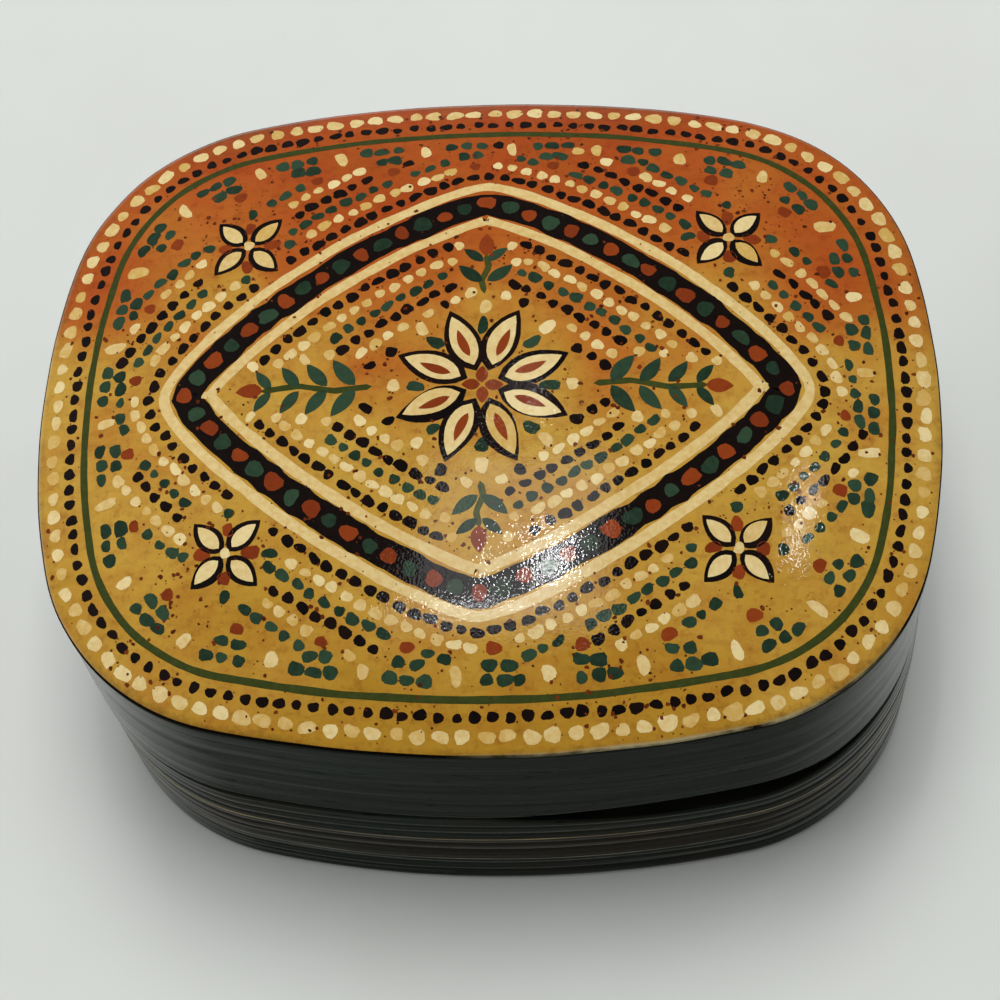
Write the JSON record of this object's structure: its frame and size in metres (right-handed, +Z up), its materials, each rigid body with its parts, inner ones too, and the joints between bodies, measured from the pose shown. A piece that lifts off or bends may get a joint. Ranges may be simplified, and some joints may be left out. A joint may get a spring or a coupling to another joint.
{
  "type": "lidded trinket box",
  "caption": "Small rounded papier-mache box with a deep crowned lid that lifts off an inner collar, painted top and dark streaked sides.",
  "frame": {"origin": "centre of the base's underside, on the surface the box stands on", "axes": "+Z up, the way the lid lifts; +X along the box's length; -Y towards the front of the box in the picture"},
  "size_m": [0.1265, 0.1034, 0.059],
  "materials": {
    "streaked_wall_paint": "brushed-on charcoal green paint under satin varnish",
    "black_lacquer": "glossy black lacquer over papier-mache",
    "painted_ground": "burnt orange to ochre painted ground under glossy varnish",
    "dot_paint": "raised dots and strokes of paint under glossy varnish"
  },
  "bodies": {
    "base": {"base_wall": "streaked_wall_paint", "base_floor": "black_lacquer", "inner_collar": "black_lacquer"},
    "lid": {"lid_wall": "streaked_wall_paint", "lid_panel": "black_lacquer", "lid_facing": "painted_ground"}
  },
  "joints": [
    {"name": "lid_lift", "type": "slide", "parent": "base", "child": "lid", "axis": [0, 0, 1], "range_m": [0, 0.06]}
  ]
}
